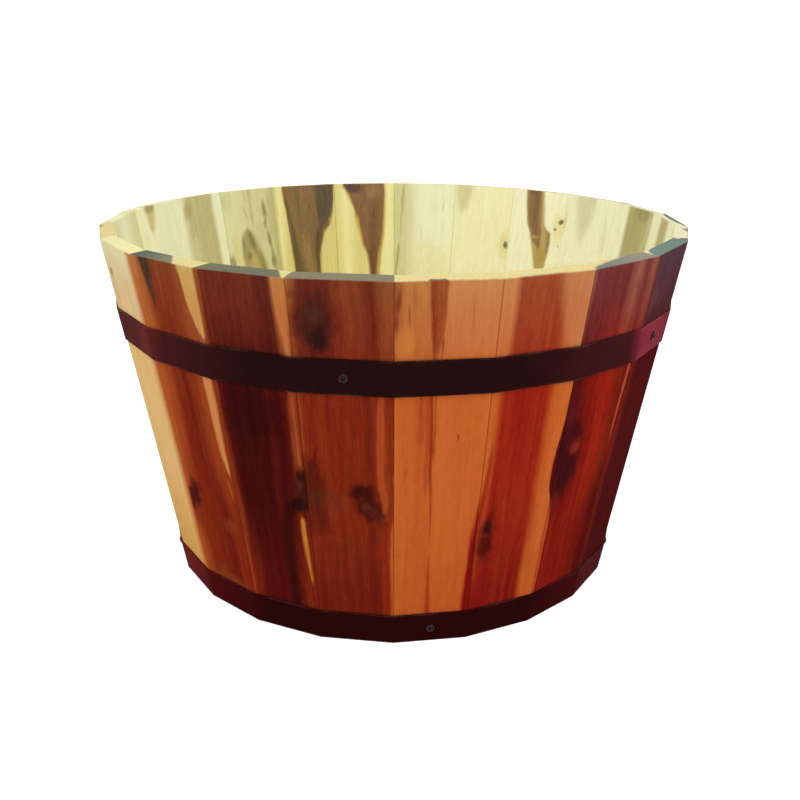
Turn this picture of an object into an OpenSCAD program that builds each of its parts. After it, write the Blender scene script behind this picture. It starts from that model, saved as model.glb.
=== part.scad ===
// Round tapered planter tub of leaning wooden staves held by two steel bands.
// The base is a disc of boards let into a groove round the inside, on two cleats.
// Millimetres, +Z up, origin on the floor at the centre of the tub. The joint between
// the first and the last stave faces -Y, and the staves are counted from it towards +X.

/* [Tub] */
// Diameter over the corners at the rim's outer edge
rim_d = 560; // [500:1:700]
// Diameter over the corners at the floor
foot_d = 449; // [400:1:490]
// Height of the rim's outer edge above the floor
tub_h = 334; // [260:1:450]

/* [Staves] */
// Number of staves round the tub
stave_count = 22; // [16:1:28]
// Thickness of a stave
stave_t = 13.5; // [11:0.5:20]
// Leg of the small flat that eases the long edges and the rim
arris = 0.8; // [0.4:0.1:1.5]

/* [Bands] */
// Width of the steel strip, measured along the stave
band_w = 30; // [20:1:40]
// Thickness of the steel strip
band_t = 1.5; // [1:0.1:2.5]
// Lower band's bottom edge above the floor
lower_band_z = 0.6; // [0:0.1:10]
// Upper band's top edge below the rim's outer edge
upper_band_drop = 62; // [30:1:120]
// Number of screws through each band
band_screw_count = 5; // [3:1:8]
// Length of the lapped outer end past its screw
lap_past = 14; // [8:1:20]
// Run in which the lapped end comes down to its neighbour's face
joggle_l = 18; // [8:1:25]

/* [Base] */
// Underside of the base boards above the floor
base_z = 30; // [28:1:80]
// Thickness of the base boards
base_t = 12; // [10:0.5:18]
// Number of boards across the base
board_count = 5; // [3:1:6]
// Open joint between two base boards
board_gap = 2; // [0.5:0.5:5]
// Depth of the groove in the staves, at half the boards' thickness
groove_depth = 5.5; // [4:0.5:6]
// Clearance of the boards above and round their edge in the groove
groove_clearance = 0.5; // [0.2:0.1:1.5]
// Diameter of the drain hole in each board but the outer two
drain_d = 16; // [8:1:25]

/* [Cleats] */
// Distance of each cleat's centre line from the tub's centre
cleat_x = 100; // [60:1:120]
// Width of a cleat
cleat_w = 30; // [20:1:50]
// Thickness of a cleat
cleat_t = 18; // [10:1:24]
// Clearance from a cleat's outer corners to the staves
cleat_clearance = 3; // [1:0.5:10]

/* [Screws] */
// Shank diameter of every screw
screw_d = 4; // [3:0.5:5]
// Clearance round a shank in wood
shank_clearance = 0.05; // [0.02:0.01:0.2]
// Clearance round a shank in a band
band_hole_clearance = 0.3; // [0.1:0.1:0.8]
// Depth that a band screw reaches into its stave
band_screw_bite = 9.5; // [6:0.5:9.5]
// Depth that a cleat screw reaches into its board
cleat_screw_bite = 8; // [5:0.5:8]
// Head diameter of the band screws
pan_head_d = 7.6; // [6.5:0.1:9]
// Head height of the band screws
pan_head_h = 2.6; // [2.2:0.1:3.2]
// Height of a band screw's head at its edge
pan_edge_h = 1.2; // [0.8:0.1:1.8]
// Head diameter of the countersunk cleat screws
flat_head_d = 7.8; // [7:0.1:9]
// Length of each arm of the cross recess from tip to tip
recess_l = 4.4; // [3:0.1:5]
// Width of an arm of the cross recess
recess_w = 1; // [0.6:0.1:1.4]
// Depth of the cross recess
recess_depth = 1.4; // [0.8:0.1:1.6]

/* [Hidden] */
overcut = 1;
tip_d = 0.8;
blind_room = 0.5;

sector = 360 / stave_count;
half = sector / 2;

// Distances from the tub's axis to the middle of a stave's outer face
foot_a = foot_d / 2 * cos(half);
rim_a = rim_d / 2 * cos(half);

// Lean of a stave's face and of its corner line, from the upright
lean = atan((rim_a - foot_a) / tub_h);
corner_lean = atan((rim_d - foot_d) / 2 / tub_h);
stave_l = tub_h / cos(lean);

// Thickness of a stave measured level, across its middle and along a corner
level_t = stave_t / cos(lean);
corner_t = level_t / cos(half);

band_h = band_w * cos(lean);
upper_band_z = tub_h - upper_band_drop - band_h;
band_hole_d = screw_d + 2 * band_hole_clearance;
pilot_d = screw_d + 2 * shank_clearance;

groove_a = inner_a(base_z + base_t / 2) + groove_depth;
base_r = groove_a - groove_clearance;
board_pitch = (2 * base_r + board_gap) / board_count;

cleat_z = base_z - cleat_t;
cleat_outer_x = cleat_x + cleat_w / 2;
cleat_half_l = sqrt(pow(inner_a(cleat_z) - cleat_clearance, 2) - pow(cleat_outer_x, 2));

pan_dome_h = pan_head_h - pan_edge_h;
pan_dome_r = (pow(pan_head_d / 2, 2) + pow(pan_dome_h, 2)) / (2 * pan_dome_h);
flat_head_h = (flat_head_d - screw_d) / 2;

// The upper band's first screw is in the last stave, the lower band's in the first
upper_screws = screw_staves(stave_count - 1);
lower_screws = screw_staves(0);
lap_screw = ceil(band_screw_count / 2);

stained = ["sandybrown", "#c4663c", "#7f3138", "#5b3536", "#b0683f", "#8d4434"];
late_stained = ["#f1cf93", "#a4523a", "#6f2b2c", "#a65138"];
raw_wood = "#d9cf9f";
band_paint = "#41282c";
screw_steel = "#5c4a4a";

function stave_name(i) = str("stave_", i < 9 ? "0" : "", i + 1);
function board_name(j) = str("base_board_", j + 1);

// The last staves before the front joint have tones of their own
function stave_tone(i) =
    let (left = stave_count - i, late = len(late_stained))
    left <= late ? late_stained[late - left] : stained[i % len(stained)];

function stave_turn(i) = (i + 0.5) * sector;

// Distance from the axis to the middle of a stave's inner face at height z
function inner_a(z) = foot_a + z * tan(lean) - level_t;

// Staves that carry a band's screws, spread evenly round from a first one
function screw_staves(first) =
    [for (k = [0 : band_screw_count - 1])
        (first + floor(k * stave_count / band_screw_count)) % stave_count];

// Height of a band's middle, measured up the stave's face
function band_middle(z) = (z + band_h / 2) / cos(lean);

function board_lo(j) = -base_r + j * board_pitch;
function board_hi(j) = board_lo(j) + board_pitch - board_gap;

// A cleat screw stands in the middle of what its board shares with the cleat
function board_screw_y(j) =
    (max(board_lo(j), -cleat_half_l) + min(board_hi(j), cleat_half_l)) / 2;

// Frame of a stave's outer face: x along the tub's side, y into the wood, z up the stave
module on_face(i) {
    rotate([0, 0, stave_turn(i)])
        translate([0, -foot_a, 0])
            rotate([lean, 0, 0]) children();
}

// Wedge between the joint planes of stave i, cut level at z0 and z1
module stave_sector(i, z0, z1) {
    rotate([0, 0, stave_turn(i)])
        translate([0, 0, z0])
            linear_extrude(z1 - z0)
                polygon([[0, 0], [-rim_d * tan(half), -rim_d], [rim_d * tan(half), -rim_d]]);
}

// Square bar along z, turned so that it cuts a 45 degree flat along an edge on its axis
module easing_bar() {
    rotate([0, 0, 45])
        cube([arris * sqrt(2), arris * sqrt(2), 4 * tub_h], center = true);
}

// Leaning slab, mitred on the joint planes, level at the foot and square at the rim
module stave_blank(i) {
    intersection() {
        on_face(i)
            translate([-rim_d / 2, 0, -stave_t])
                cube([rim_d, stave_t, stave_l + stave_t]);
        stave_sector(i, 0, 2 * tub_h);
    }
}

// Eased long edges on both faces, and eased rim
module stave_easing(i) {
    rotate([0, 0, stave_turn(i)])
        for (side = [-1, 1], depth = [0, corner_t])
            rotate([0, 0, side * half])
                translate([0, depth - foot_d / 2, 0])
                    rotate([corner_lean, 0, 0]) easing_bar();
    on_face(i)
        for (y = [0, stave_t])
            translate([0, y, stave_l])
                rotate([0, 90, 0]) easing_bar();
}

// Level groove for the edge of the base
module stave_groove(i) {
    rotate([0, 0, stave_turn(i)])
        translate([-rim_d / 2, -groove_a, base_z])
            cube([rim_d, groove_a, base_t + groove_clearance]);
}

// Blind hole for a band screw, square to the stave's face
module stave_pilot(i, band_z) {
    on_face(i)
        translate([0, band_screw_bite + blind_room, band_middle(band_z)])
            rotate([90, 0, 0])
                cylinder(h = band_screw_bite + blind_room + overcut, d = pilot_d, $fn = 32);
}

module stave(i) {
    color(stave_tone(i))
        difference() {
            stave_blank(i);
            stave_easing(i);
            stave_groove(i);
            if (len([for (s = upper_screws) if (s == i) s]) > 0) stave_pilot(i, upper_band_z);
            if (len([for (s = lower_screws) if (s == i) s]) > 0) stave_pilot(i, lower_band_z);
        }
}

// Everything within the staves' faces, moved outwards by out, cut level at z0 and z1
module faceted_core(out, z0, z1) {
    reach = foot_d / 2 + z1 * tan(corner_lean) + 2 * out + overcut;
    depth = reach - (foot_a + z0 * tan(lean)) + overcut;
    difference() {
        translate([0, 0, z0]) cylinder(h = z1 - z0, r = reach, $fn = 64);
        for (i = [0 : stave_count - 1])
            on_face(i)
                translate([-reach * tan(half) - overcut, -out - depth, z0 - band_w])
                    cube([2 * (reach * tan(half) + overcut), depth, z1 - z0 + 2 * band_w]);
    }
}

// Outer end of the strip: a second layer on stave i that comes down to the next flat in a
// short ramp. It is sunk half a thickness into the layer beneath.
module lapped_end(i, band_z) {
    corner_x = (foot_d / 2 + (band_z + band_h / 2) * tan(corner_lean)) * sin(half);
    intersection() {
        faceted_core(2 * band_t, band_z, band_z + band_h);
        union() {
            intersection() {
                stave_sector(i, band_z - overcut, band_z + band_h + overcut);
                on_face(i)
                    translate([-lap_past, -3 * band_t, -tub_h])
                        cube([rim_d, 2.5 * band_t, 3 * tub_h]);
            }
            on_face((i + 1) % stave_count)
                translate([-corner_x, -band_t, -tub_h])
                    linear_extrude(3 * tub_h)
                        polygon([[-joggle_l / 2, band_t / 2], [joggle_l, band_t / 2],
                                 [joggle_l, 0], [-joggle_l / 2, -1.5 * band_t]]);
        }
    }
}

// Steel strip bent to a flat on each stave, its outer end lapped over the first
module band(band_z, screws) {
    color(band_paint)
        difference() {
            union() {
                difference() {
                    faceted_core(band_t, band_z, band_z + band_h);
                    faceted_core(0, band_z - overcut, band_z + band_h + overcut);
                }
                lapped_end(screws[lap_screw], band_z);
            }
            for (i = screws)
                on_face(i)
                    translate([0, overcut, band_middle(band_z)])
                        rotate([90, 0, 0])
                            cylinder(h = 2 * (band_t + overcut), d = band_hole_d, $fn = 32);
        }
}

module upper_band() {
    band(upper_band_z, upper_screws);
}

module lower_band() {
    band(lower_band_z, lower_screws);
}

// Shank down from z = 0, with a short point
module screw_shank(length) {
    translate([0, 0, -length]) {
        cylinder(h = screw_d, d1 = tip_d, d2 = screw_d, $fn = 32);
        translate([0, 0, screw_d]) cylinder(h = length - screw_d, d = screw_d, $fn = 32);
    }
}

// Cross recess sunk from z = 0
module cross_recess() {
    for (turn = [0, 90])
        rotate([0, 0, turn])
            translate([-recess_l / 2, -recess_w / 2, -recess_depth])
                cube([recess_l, recess_w, recess_depth + overcut]);
}

// Domed head seated on z = 0
module pan_screw() {
    difference() {
        union() {
            intersection() {
                cylinder(h = pan_head_h, d = pan_head_d, $fn = 48);
                translate([0, 0, pan_head_h - pan_dome_r]) sphere(r = pan_dome_r, $fn = 96);
            }
            screw_shank(band_t + band_screw_bite);
        }
        translate([0, 0, pan_head_h]) cross_recess();
    }
}

// Countersunk head with its flat face at z = 0
module flat_screw() {
    difference() {
        union() {
            translate([0, 0, -flat_head_h])
                cylinder(h = flat_head_h, d1 = screw_d, d2 = flat_head_d, $fn = 48);
            screw_shank(cleat_t + cleat_screw_bite);
        }
        cross_recess();
    }
}

// A band's screws; the one through the lap sits a strip's thickness further out
module band_screws(band_z, screws) {
    color(screw_steel)
        for (k = [0 : band_screw_count - 1])
            on_face(screws[k])
                translate([0, k == lap_screw ? -2 * band_t : -band_t, band_middle(band_z)])
                    rotate([90, 0, 0]) pan_screw();
}

module upper_band_screws() {
    band_screws(upper_band_z, upper_screws);
}

module lower_band_screws() {
    band_screws(lower_band_z, lower_screws);
}

// Board j of the base, counted from the front
module base_board(j) {
    color(raw_wood)
        difference() {
            intersection() {
                translate([0, 0, base_z]) cylinder(h = base_t, r = base_r, $fn = 128);
                translate([-rim_d / 2, board_lo(j), base_z - overcut])
                    cube([rim_d, board_pitch - board_gap, base_t + 2 * overcut]);
            }
            if (j > 0 && j < board_count - 1)
                translate([0, (board_lo(j) + board_hi(j)) / 2, base_z - overcut])
                    cylinder(h = base_t + 2 * overcut, d = drain_d, $fn = 48);
            for (side = [-1, 1])
                translate([side * cleat_x, board_screw_y(j), base_z - overcut])
                    cylinder(h = overcut + cleat_screw_bite + blind_room, d = pilot_d, $fn = 32);
        }
}

// Batten across the underside of the boards, countersunk for one screw a board
module cleat(side) {
    color(raw_wood)
        difference() {
            translate([side * cleat_x - cleat_w / 2, -cleat_half_l, cleat_z])
                cube([cleat_w, 2 * cleat_half_l, cleat_t]);
            for (j = [0 : board_count - 1])
                translate([side * cleat_x, board_screw_y(j), cleat_z]) {
                    translate([0, 0, -overcut])
                        cylinder(h = cleat_t + 2 * overcut, d = pilot_d, $fn = 32);
                    cylinder(h = flat_head_h, d1 = flat_head_d + 2 * shank_clearance,
                             d2 = pilot_d, $fn = 48);
                }
        }
}

module cleat_screws() {
    color(screw_steel)
        for (side = [-1, 1], j = [0 : board_count - 1])
            translate([side * cleat_x, board_screw_y(j), cleat_z])
                rotate([180, 0, 0]) flat_screw();
}

for (i = [0 : stave_count - 1])
    stave(i);
upper_band();
lower_band();
upper_band_screws();
lower_band_screws();
for (j = [0 : board_count - 1])
    base_board(j);
cleat(-1);  // left_cleat
cleat(1);  // right_cleat
cleat_screws();
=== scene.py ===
"""Looks of a round wooden planter tub: stained staves, painted steel bands, bare wood inside."""
import math

import bpy
from mathutils import Matrix, Vector

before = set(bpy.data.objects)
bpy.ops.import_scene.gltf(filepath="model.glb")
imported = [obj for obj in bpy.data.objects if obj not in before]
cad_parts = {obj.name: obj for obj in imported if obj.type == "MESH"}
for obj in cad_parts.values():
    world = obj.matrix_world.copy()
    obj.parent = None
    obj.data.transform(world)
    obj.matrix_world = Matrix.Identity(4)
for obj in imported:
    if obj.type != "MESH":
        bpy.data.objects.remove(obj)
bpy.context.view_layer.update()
bpy.ops.object.select_all(action="DESELECT")

# ---- Camera -------------------------------------------------------------------------
# The photograph looks down on the tub from a little above the rim, with a front joint
# almost facing it, and is turned a third of a degree about its middle.
RIM_HEIGHT = 0.334
CAMERA_OFFSET = Vector((-0.0003, -0.9370, 0.1477))
CAMERA_YAW = math.radians(-0.41)
CAMERA_PITCH = math.radians(19.756)
CAMERA_ROLL = math.radians(0.327)
CAMERA_LENS = 42.785
SENSOR_WIDTH = 36.0

camera_data = bpy.data.cameras.new("camera")
camera_data.lens = CAMERA_LENS
camera_data.sensor_width = SENSOR_WIDTH
camera = bpy.data.objects.new("camera", camera_data)
bpy.context.collection.objects.link(camera)
camera.location = Vector((0, 0, RIM_HEIGHT)) + CAMERA_OFFSET
camera.rotation_euler = (
    Matrix.Rotation(CAMERA_YAW, 3, "Z")
    @ Matrix.Rotation(math.pi / 2 - CAMERA_PITCH, 3, "X")
    @ Matrix.Rotation(CAMERA_ROLL, 3, "Z")
).to_euler()
bpy.context.scene.camera = camera
bpy.context.scene.view_settings.view_transform = "Standard"

# ---- Studio floor, room and lamps ---------------------------------------------------
# A plain pale floor that runs far past the view and keeps the tub's shadow, an even white
# room, and two large soft lamps high up in front, one to either side.
FLOOR_HALF_WIDTH = 12.0
FLOOR_LIGHTNESS = 0.85
FLOOR_GLOW = 0.6
ROOM_LIGHT = 0.67
WHITE = (1, 1, 1, 1)
LAMP_WIDTH = 1.5
LAMP_AIM = Vector((0, 0, 0.2))


class Strand:
    """A value on its way through a finish. Python's operators add the Math nodes."""

    def __init__(self, finish, socket):
        self.finish = finish
        self.socket = socket

    def part(self, name):
        """Another output of the node that this value comes from."""
        return Strand(self.finish, self.socket.node.outputs[name])

    def math(self, operation, *values):
        inputs = dict(enumerate((self, *values)))
        return self.finish.add("ShaderNodeMath", {"operation": operation}, inputs)

    def __add__(self, other):
        return self.math("ADD", other)

    def __sub__(self, other):
        return self.math("SUBTRACT", other)

    def __rsub__(self, other):
        return self.finish.add("ShaderNodeMath", {"operation": "SUBTRACT"}, {0: other, 1: self})

    def __mul__(self, other):
        return self.math("MULTIPLY", other)

    def __truediv__(self, other):
        return self.math("DIVIDE", other)

    def __abs__(self):
        return self.math("ABSOLUTE")

    __radd__ = __add__


class Finish:
    """A finish: one material and the nodes that it is made of, or the nodes of a given tree."""

    def __init__(self, name, tree=None):
        if tree is None:
            self.material = bpy.data.materials.new(name)
            self.material.use_nodes = True
            tree = self.material.node_tree
        self.tree = tree
        self.tree.nodes.clear()

    def add(self, kind, settings=None, inputs=None, output=0):
        """Adds a node: first its settings, then the values or links of its sockets."""
        node = self.tree.nodes.new(kind)
        for name, value in (settings or {}).items():
            if name == "stops":
                self.set_stops(node.color_ramp, value)
            else:
                setattr(node, name, value)
        for name, value in (inputs or {}).items():
            if isinstance(value, Strand):
                self.tree.links.new(value.socket, node.inputs[name])
            else:
                node.inputs[name].default_value = value
        return Strand(self, node.outputs[output]) if len(node.outputs) else None

    def set_stops(self, ramp, stops):
        while len(ramp.elements) > len(stops):
            ramp.elements.remove(ramp.elements[-1])
        while len(ramp.elements) < len(stops):
            ramp.elements.new(1.0)
        for element, (place, _) in zip(ramp.elements, stops):
            element.position = place
        for element, (_, colour) in zip(ramp.elements, stops):
            element.color = colour

    def blend(self, amount, under, over, mode="MIX"):
        """Colour under with colour over laid on it by amount."""
        settings = {"data_type": "RGBA", "blend_type": mode}
        return self.add("ShaderNodeMix", settings, {0: amount, 6: under, 7: over}, 2)

    def surface(self, inputs):
        """Closes the finish with a surface that has these inputs."""
        shader = self.add("ShaderNodeBsdfPrincipled", inputs=inputs)
        self.add("ShaderNodeOutputMaterial", inputs={"Surface": shader})

    def lay_on(self, piece, inputs):
        """Closes the finish in the same way and puts it on a piece."""
        self.surface(inputs)
        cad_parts[piece].data.materials[0] = self.material


def seen_rays(finish):
    """1 for rays that come from the camera, a mirror or a glass, and 0 for all others."""
    rays = finish.add("ShaderNodeLightPath", output="Is Camera Ray")
    mirrored = rays.math("MAXIMUM", rays.part("Is Glossy Ray"))
    return mirrored.math("MAXIMUM", rays.part("Is Transmission Ray"))


floor_paint = Finish("floor_paint")
floor_paint.surface({
    "Base Color": (FLOOR_LIGHTNESS, FLOOR_LIGHTNESS, FLOOR_LIGHTNESS, 1),
    "Roughness": 0.9,
    "Specular IOR Level": 0.0,
    "Emission Color": WHITE,
    "Emission Strength": seen_rays(floor_paint) * FLOOR_GLOW,
})
bpy.ops.mesh.primitive_plane_add(size=2 * FLOOR_HALF_WIDTH, location=(0, 0, 0))
floor = bpy.context.active_object
floor.name = "floor"
floor.data.materials.append(floor_paint.material)

world = bpy.data.worlds.new("room")
world.use_nodes = True
bpy.context.scene.world = world
room = Finish("room", world.node_tree)
room_glow = seen_rays(room) * (1 - ROOM_LIGHT) + ROOM_LIGHT
room.add("ShaderNodeOutputWorld", inputs={
    "Surface": room.add("ShaderNodeBackground", inputs={"Color": WHITE, "Strength": room_glow}),
})


def soft_lamp(name, place, power):
    """A square area lamp that faces the middle of the tub."""
    data = bpy.data.lights.new(name, "AREA")
    data.size = LAMP_WIDTH
    data.energy = power
    lamp = bpy.data.objects.new(name, data)
    bpy.context.collection.objects.link(lamp)
    lamp.location = place
    lamp.rotation_euler = (LAMP_AIM - Vector(place)).to_track_quat("-Z", "Y").to_euler()


soft_lamp("left_lamp", (-1.4, -1.2, 2.3), 26)
soft_lamp("right_lamp", (1.5, -1.0, 2.3), 30)

# ---- Staves: their timber -----------------------------------------------------------
# Twenty-two flat tapered staves of a hardwood with pale sapwood and dark red heartwood.
# They lean outwards, stand edge to edge, and are sawn level at the foot and square at the
# rim. The outside has a clear red stain. The inside and the ends are bare.
MILLIMETRE = 0.001
STAVE_COUNT = 22
STAVE_LENGTH = 338.5
STAVE_TURN = 360 / STAVE_COUNT
STAVE_LEAN = math.radians(9.34)
FOOT_APOTHEM = 0.222215
HALF_FACE = 42.0
WHOLE_FACE = 2 * HALF_FACE
STAIN_DEPTH = 3.0
FACE_HALF_FOOT = 31.94
FACE_SPREAD = 0.02333
JOINT_DIRT = (52, 18, 12)
COURSE_REACH = 60.0
COURSE_FLOOR = 20.0
COURSE_SPAN = 80.0
LENS_DEPTH = 20.0
FIBRE_SIZE = (1.2, 1.2, 30)
BARE_ROUGHNESS = 0.62
STAIN_GLOSS = 0.2
# Heights up a stave, in millimetres, over which the painted sheen fades in: first the rim colours, then a
# further lightening at the very top.
RIM_SHEEN_HEIGHTS = (240, 322)
TOP_SHEEN_HEIGHTS = (305, 345)
BUMP_DEPTH = 0.0004
FIGURE_SEED_STEP = 7.31
BOARD_SEED_STEP = 11.0
PALE_END = (210, 196, 138)
CREAM_END = (216, 210, 176)

# Stained wood, from sapwood to the darkest heartwood.
CREAM = (220, 180, 118)
HONEY = (212, 162, 92)
ORANGE = (196, 98, 44)
COPPER = (188, 90, 38)
AMBER = (172, 82, 38)
RUST = (150, 64, 29)
BRICK = (130, 43, 20)
SCARLET = (150, 37, 20)
CRIMSON = (130, 27, 18)
OXBLOOD = (110, 30, 17)
MAROON = (86, 20, 17)
PLUM = (76, 21, 22)
NIGHT = (64, 15, 14)

# The same woods near the rim, paler and greyer under a painted sheen.
DULL_CREAM = (218, 192, 145)
DULL_ORANGE = (196, 119, 70)
DULL_COPPER = (184, 108, 56)
DULL_TAN = (172, 98, 48)
DULL_BROWN = (148, 76, 40)
DULL_BRICK = (155, 66, 38)
DULL_RUST = (130, 56, 31)
DULL_RED = (107, 40, 27)
DULL_MAROON = (92, 34, 26)
PLUM_BROWN = (114, 47, 45)
ROSE_BROWN = (146, 82, 64)
SLATE_PLUM = (84, 52, 57)
# A painted sheen laid on a stave's body colours near the rim, where no rim colours are given.
RIM_SHEEN = (1.05, 1.5, 2.2, 1)

# Bare wood inside.
BARE_WHITE = (251, 250, 213)
BARE_CREAM = (238, 238, 201)
BARE_SAPWOOD = (244, 241, 194)
BARE_BUTTER = (234, 228, 165)
BARE_ASH = (220, 218, 170)
BARE_GREY = (212, 207, 155)
BARE_HONEY = (216, 205, 132)
BARE_HEART = (196, 186, 134)
BARE_OLIVE = (186, 177, 122)

# Heartwood on the sawn ends.
END_GREEN = (110, 120, 111)
END_TEAL = (110, 128, 121)
END_STEEL = (90, 98, 91)
END_MOSS = (108, 110, 90)
END_OLIVE = (126, 121, 99)
END_BROWN = (110, 93, 72)
END_GREY = (139, 132, 119)
END_PALE = (154, 142, 112)
# A painted sheen that lightens the stain at the very rim.
TOP_SHEEN = (1.01, 1.25, 1.3, 1)


def tint(colour):
    """A colour on the 0 to 255 scale of a paint chart, on the renderer's own scale."""
    return tuple(
        ((value / 255 + 0.055) / 1.055) ** 2.4 if value > 10 else value / 255 / 12.92
        for value in colour
    ) + (1,)


def ease(value, start, end):
    """0 up to start, 1 from end on, with an easy slope between."""
    return value.finish.add(
        "ShaderNodeMapRange",
        {"interpolation_type": "SMOOTHSTEP"},
        {"Value": value, "From Min": start, "From Max": end},
    )


class Board(Finish):
    """A board's wood. Across it runs x, y goes into it and z along it, all in millimetres."""

    def __init__(self, name, seed, foot, turn, length):
        super().__init__(name)
        place = self.add(
            "ShaderNodeMapping",
            {"vector_type": "TEXTURE"},
            {
                "Vector": self.add("ShaderNodeTexCoord", output="Object"),
                "Location": foot,
                "Rotation": turn,
                "Scale": (MILLIMETRE, MILLIMETRE, MILLIMETRE),
            },
        )
        self.seed = seed
        self.length = length
        self.place = place
        self.x = self.add("ShaderNodeSeparateXYZ", inputs={0: place})
        self.y = self.x.part("Y")
        self.z = self.x.part("Z")

    def figure(self, size, detail=2.0, grain=None):
        """Noise with grains of the given size across, into and along the wood."""
        self.seed += FIGURE_SEED_STEP
        spread = self.add(
            "ShaderNodeMapping",
            inputs={
                "Vector": grain or self.place,
                "Location": (self.seed, 0.7 * self.seed, 1.3 * self.seed),
                "Scale": tuple(1 / length for length in size),
            },
        )
        return self.add(
            "ShaderNodeTexNoise",
            inputs={"Vector": spread, "Scale": 1.0, "Detail": detail, "Roughness": 0.55},
        )

    def lay_grain(self, bends):
        """Lets the grain wander a little, and pass round each large knot on both sides."""
        wander = (self.figure((60, 60, 170), 1.0) - 0.5) * 6 + (self.figure((14, 14, 50), 2.0) - 0.5) * 3
        across = self.x + wander
        for x, z, push, width, height in bends:
            side = (self.x - x) / width
            level = (self.z - z) / height
            spread = side * (2 * push) / (side * side + 1)
            fall = level * level + 1
            across = across - spread / (fall * fall)
        self.across = across
        self.grain = self.add("ShaderNodeCombineXYZ", inputs={0: across, 1: self.y, 2: self.z})
        self.ragged = self.figure((6, 6, 10), 3.0)
        self.fray = (self.figure((3, 3, 38), 3.0, self.grain) - 0.5) * 4
        self.broad = self.figure((5, 5, 130), 2.0, self.grain) - 0.5
        self.fibre = self.figure(FIBRE_SIZE, 3.0, self.grain) - 0.5
        self.mottle = self.figure((4, 4, 12), 3.0) - 0.5
        self.pores = ease(self.figure((0.6, 0.6, 9), 1.0, self.grain), 0.64, 0.74)
        self.fleck = self.figure((1.5, 1.5, 5), 2.0) - 0.5

    def tones(self, stops):
        """Colours across the face, from one edge to the other."""
        return self.add(
            "ShaderNodeValToRGB",
            {"stops": [((x + HALF_FACE) / WHOLE_FACE, tint(colour)) for x, colour in stops]},
            {"Fac": (self.across + HALF_FACE) / WHOLE_FACE},
        )

    def streak(self, under, colour, softness, course, strength=1.0):
        """A streak of other wood. Its course gives (height, middle, half width) up the board."""
        stops = []
        for z, x, half in course:
            place = (x + COURSE_REACH) / (2 * COURSE_REACH)
            stops.append((z / self.length, (place, (half + COURSE_FLOOR) / COURSE_SPAN, 0, 1)))
        guide = self.add("ShaderNodeValToRGB", {"stops": stops}, {"Fac": self.z / self.length})
        middle = self.add("ShaderNodeSeparateColor", inputs={0: guide})
        half = middle.part("Green") * COURSE_SPAN - COURSE_FLOOR
        offset = abs(self.across - (middle * (2 * COURSE_REACH) - COURSE_REACH)) + self.fray
        cover = ease(offset - half, softness / 2, -softness / 2) * strength
        return self.blend(cover, under, tint(colour))

    def patch(self, under, colour, x, z, wide, high, strength=1.0, tilt=0, softness=0.5):
        """A ragged patch, such as a knot or a stain. wide and high reach out from its middle."""
        flat = self.add("ShaderNodeCombineXYZ", inputs={0: self.x, 2: self.z})
        spread = self.add(
            "ShaderNodeMapping",
            {"vector_type": "TEXTURE"},
            {
                "Vector": flat,
                "Location": (x, 0, z),
                "Rotation": (0, math.radians(tilt), 0),
                "Scale": (wide, 1, high),
            },
        )
        reach = self.add("ShaderNodeVectorMath", {"operation": "LENGTH"}, {0: spread}, "Value")
        ragged = reach + (self.ragged - 0.5) * 1.3
        return self.blend(ease(ragged, 1 + softness, 1 - softness) * strength, under, tint(colour))

    def shade(self, colour, depth, turn):
        """Light and dark in the wood. Dark heartwood shows far more of it than pale sapwood."""
        redness = self.add("ShaderNodeSeparateColor", inputs={0: colour})
        strength = 1 - ease(redness, 0.06, 0.7) * 0.68
        return self.add(
            "ShaderNodeHueSaturation",
            inputs={"Hue": turn * strength + 0.5, "Value": depth * strength + 1, "Color": colour},
        )

    def mark(self, colour, streaks, patches):
        """Lays the streaks on a colour, and the patches over them."""
        for streak in streaks:
            colour = self.streak(colour, *streak)
        for patch in patches:
            colour = self.patch(colour, *patch)
        return colour

    def cover(self, piece, colour, roughness):
        """Puts the wood on a piece, with fibres and pores that a finger just feels."""
        bump = self.add(
            "ShaderNodeBump",
            inputs={"Strength": 0.35, "Distance": BUMP_DEPTH, "Height": self.fibre - self.pores * 0.5},
        )
        self.lay_on(piece, {
            "Base Color": colour,
            "Roughness": roughness + self.fibre * 0.25,
            "Specular IOR Level": 0.0,
            "Normal": bump,
        })


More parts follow.
